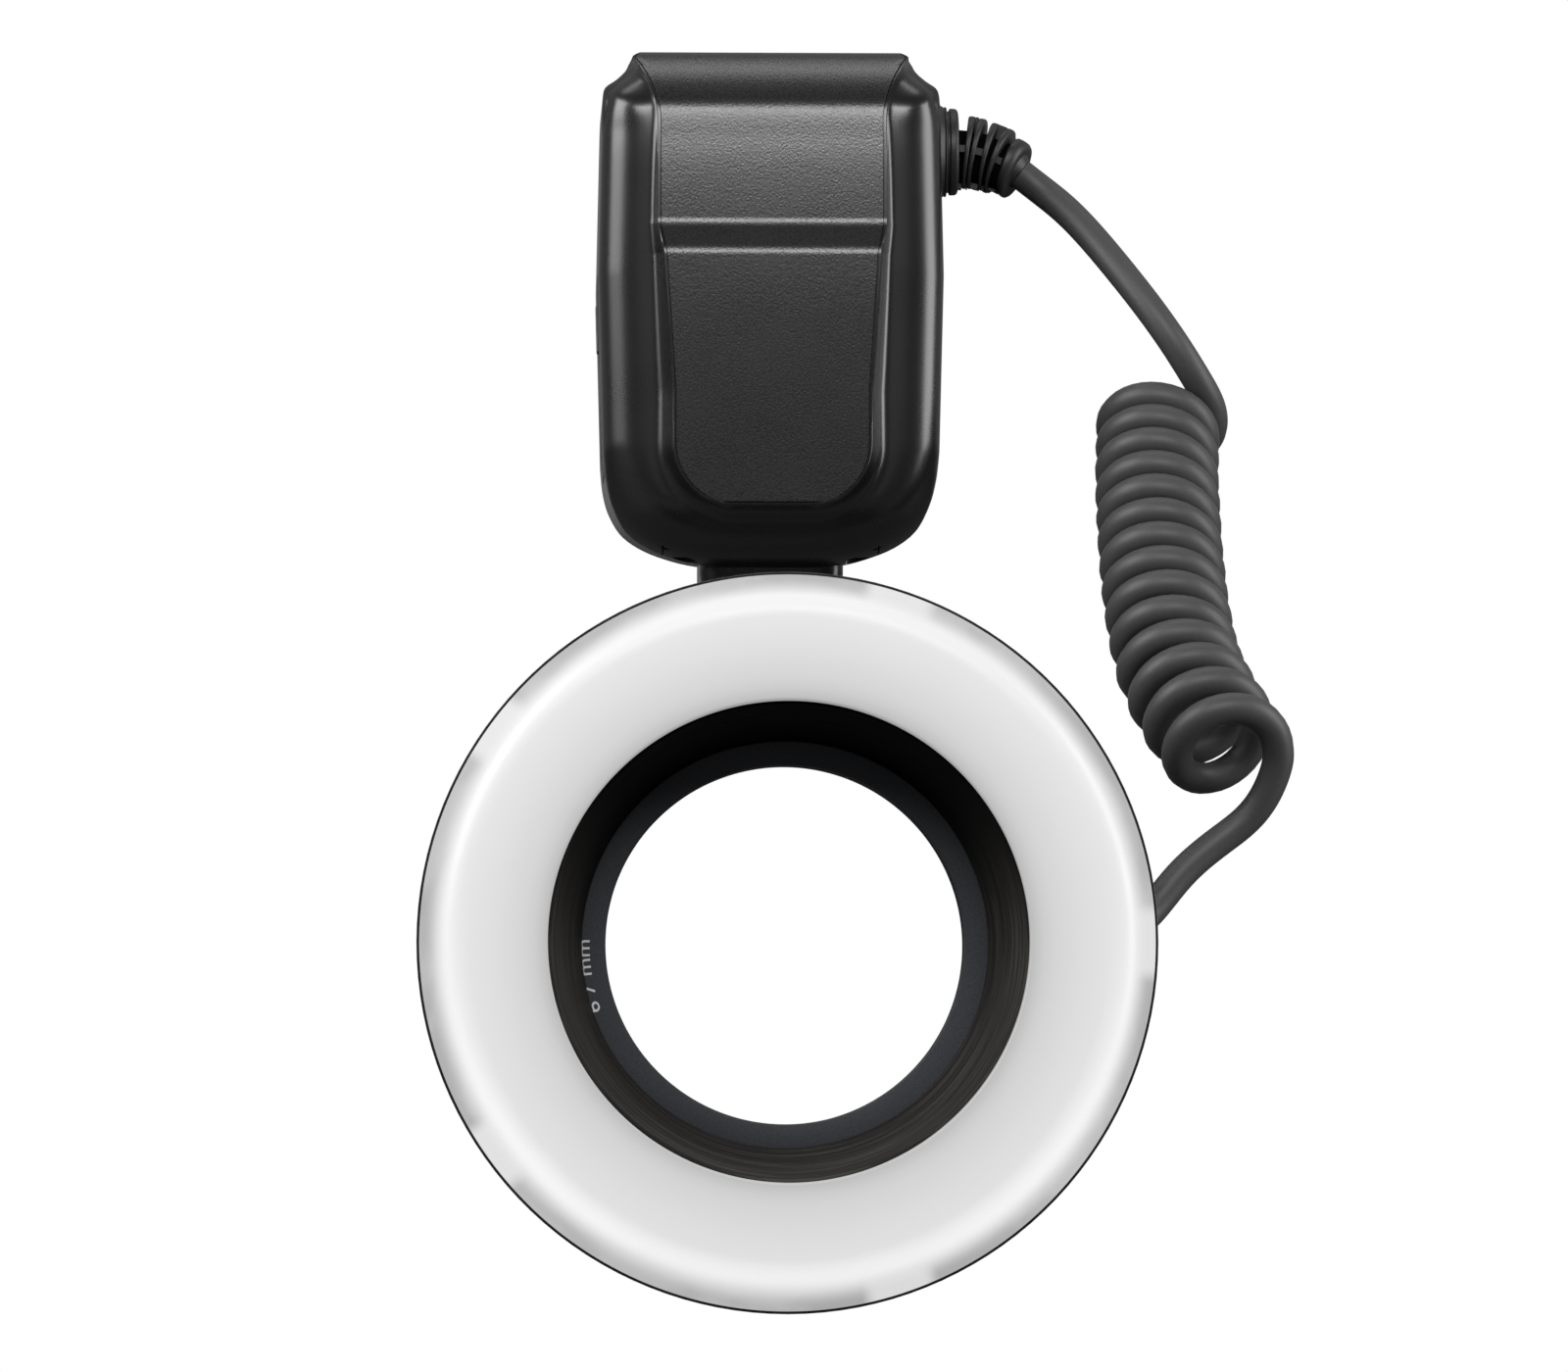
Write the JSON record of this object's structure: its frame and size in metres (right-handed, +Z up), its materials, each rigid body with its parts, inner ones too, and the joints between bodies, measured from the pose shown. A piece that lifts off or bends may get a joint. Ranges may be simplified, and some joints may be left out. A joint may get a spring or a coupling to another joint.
{
  "type": "macro ring flash",
  "caption": "Macro ring flash: a ring light that clips on a lens adapter, joined by a curly cord to a shoe-mounted controller with display, dial, keys and battery",
  "frame": {"origin": "middle of the shoe foot's underside, where it rests in the accessory shoe", "axes": "+Z up out of the shoe, -Y towards the subject (the light faces -Y), +X to the right as the front is seen"},
  "size_m": [0.1601, 0.1572, 0.2378],
  "materials": {
    "case_black": "satin moulded black",
    "panel_grain": "fine sparkle grain",
    "milk_diffuser": "milky translucent",
    "cone_gloss": "gloss with fine turned grooves",
    "inner_plastic": "moulded",
    "tube_glass": "clear",
    "bright_reflector": "bright",
    "lamp_lens": "clear lens",
    "circuit_board": "solder mask",
    "screw_steel": "blackened",
    "slate_anodised": "slate anodised, fine grain",
    "boot_rubber": "matte",
    "cord_rubber": "matte dark grey",
    "window_glass": "smoked",
    "display_body": "dark liquid crystal panel",
    "capacitor_sleeve": "sleeved",
    "winding": "wound and taped",
    "battery_black": "moulded",
    "cell_wrap": "wrapped cells",
    "contact_gold": "gilt",
    "catch_grey": "moulded",
    "socket_metal": "plated",
    "key_black": "moulded",
    "shoe_metal": "bare metal"
  },
  "bodies": {
    "flash": {"front_shell": "case_black", "rear_shell": "case_black", "foot_block": "case_black", "foot_base": "case_black", "ring_housing": "case_black", "ring_cable_boss": "case_black", "front_panel": "panel_grain", "diffuser": "milk_diffuser", "bore_cone": "cone_gloss", "carrier_frame": "inner_plastic", "battery_bay": "inner_plastic", "tube_holders": "inner_plastic", "key_switches": "inner_plastic", "flash_tube_left": "tube_glass", "flash_tube_right": "tube_glass", "reflector": "bright_reflector", "chassis_plate": "bright_reflector", "focus_lamps": "lamp_lens", "trigger_board": "circuit_board", "main_board": "circuit_board", "ring_screws": "screw_steel", "board_screws": "screw_steel", "case_screws": "screw_steel", "foot_screws": "screw_steel", "top_latch_spring": "screw_steel", "bottom_latch_spring": "screw_steel", "ring_boot": "boot_rubber", "controller_boot": "boot_rubber", "cord_upper_lead": "cord_rubber", "cord_coil": "cord_rubber", "cord_lower_lead": "cord_rubber", "display_window": "window_glass", "display_module": "display_body", "flash_capacitor": "capacitor_sleeve", "transformer": "winding", "battery_contacts": "contact_gold", "shoe_contacts": "contact_gold", "usb_socket": "socket_metal", "sync_socket": "socket_metal", "shoe_plate": "shoe_metal"},
    "adapter": {"adapter_ring": "slate_anodised"},
    "top_latch": {"top_latch": "inner_plastic"},
    "bottom_latch": {"bottom_latch": "inner_plastic"},
    "battery": {"battery_pack": "battery_black", "battery_cells": "cell_wrap"},
    "battery_catch": {"battery_catch": "catch_grey"},
    "port_cover": {"port_cover": "boot_rubber"},
    "selector_dial": {"selector_dial": "key_black"},
    "set_button": {"set_button": "key_black"},
    "power_switch": {"power_switch": "key_black"},
    "lock_lever": {"lock_lever": "key_black"},
    "lock_pin": {"lock_pin": "screw_steel"},
    "function_key_1": {"function_key_1": "key_black"},
    "function_key_2": {"function_key_2": "key_black"},
    "function_key_3": {"function_key_3": "key_black"},
    "function_key_4": {"function_key_4": "key_black"},
    "mode_button": {"mode_button": "key_black"},
    "lock_button": {"lock_button": "key_black"},
    "test_button": {"test_button": "key_black"}
  },
  "joints": [
    {"name": "adapter_turn", "type": "hinge", "parent": "flash", "child": "adapter", "pos_m": [0, -0.1, -0.06], "axis": [0, -1, 0], "continuous": true},
    {"name": "top_latch_press", "type": "slide", "parent": "flash", "child": "top_latch", "axis": [0, 0, -1], "range_m": [0, 0.0016], "stiffness_N_per_m": 400, "springref_m": -0.002, "deforming": ["top_latch_spring"]},
    {"name": "bottom_latch_press", "type": "slide", "parent": "flash", "child": "bottom_latch", "axis": [0, 0, 1], "range_m": [0, 0.0016], "stiffness_N_per_m": 400, "springref_m": -0.002, "deforming": ["bottom_latch_spring"]},
    {"name": "battery_slide", "type": "slide", "parent": "flash", "child": "battery", "axis": [-1, 0, 0], "range_m": [0, 0.062]},
    {"name": "battery_catch_slide", "type": "slide", "parent": "battery", "child": "battery_catch", "axis": [0, 0, -1], "range_m": [0, 0.002]},
    {"name": "port_cover_swing", "type": "hinge", "parent": "flash", "child": "port_cover", "pos_m": [0.03235, -0.0055, 0.05], "axis": [0, 0, -1], "range_deg": [0, 95]},
    {"name": "selector_dial_turn", "type": "hinge", "parent": "flash", "child": "selector_dial", "pos_m": [0, 0.024, 0.0418], "axis": [0, 1, 0], "continuous": true},
    {"name": "set_button_press", "type": "slide", "parent": "flash", "child": "set_button", "axis": [0, -1, 0], "range_m": [0, 0.0008], "stiffness_N_per_m": 300, "springref_m": -0.001},
    {"name": "function_key_1_press", "type": "slide", "parent": "flash", "child": "function_key_1", "axis": [0, -1, 0], "range_m": [0, 0.0008], "stiffness_N_per_m": 300, "springref_m": -0.001},
    {"name": "function_key_2_press", "type": "slide", "parent": "flash", "child": "function_key_2", "axis": [0, -1, 0], "range_m": [0, 0.0008], "stiffness_N_per_m": 300, "springref_m": -0.001},
    {"name": "function_key_3_press", "type": "slide", "parent": "flash", "child": "function_key_3", "axis": [0, -1, 0], "range_m": [0, 0.0008], "stiffness_N_per_m": 300, "springref_m": -0.001},
    {"name": "function_key_4_press", "type": "slide", "parent": "flash", "child": "function_key_4", "axis": [0, -1, 0], "range_m": [0, 0.0008], "stiffness_N_per_m": 300, "springref_m": -0.001},
    {"name": "mode_button_press", "type": "slide", "parent": "flash", "child": "mode_button", "axis": [0, -1, 0], "range_m": [0, 0.0008], "stiffness_N_per_m": 300, "springref_m": -0.001},
    {"name": "lock_button_press", "type": "slide", "parent": "flash", "child": "lock_button", "axis": [0, -1, 0], "range_m": [0, 0.0008], "stiffness_N_per_m": 300, "springref_m": -0.001},
    {"name": "test_button_press", "type": "slide", "parent": "flash", "child": "test_button", "axis": [0, -1, 0], "range_m": [0, 0.0008], "stiffness_N_per_m": 300, "springref_m": -0.001},
    {"name": "power_switch_slide", "type": "slide", "parent": "flash", "child": "power_switch", "axis": [1, 0, 0], "range_m": [0, 0.004]},
    {"name": "lock_lever_swing", "type": "hinge", "parent": "flash", "child": "lock_lever", "pos_m": [0, 0, 0.0083], "axis": [0, 0, 1], "range_deg": [0, 50]},
    {"name": "lock_pin_drop", "type": "slide", "parent": "flash", "child": "lock_pin", "axis": [0, 0, -1], "range_m": [0, 0.0016]}
  ],
  "couplings": [
    {"joint": "lock_pin_drop", "follows": "lock_lever_swing", "m_per_rad": 0.0018}
  ]
}
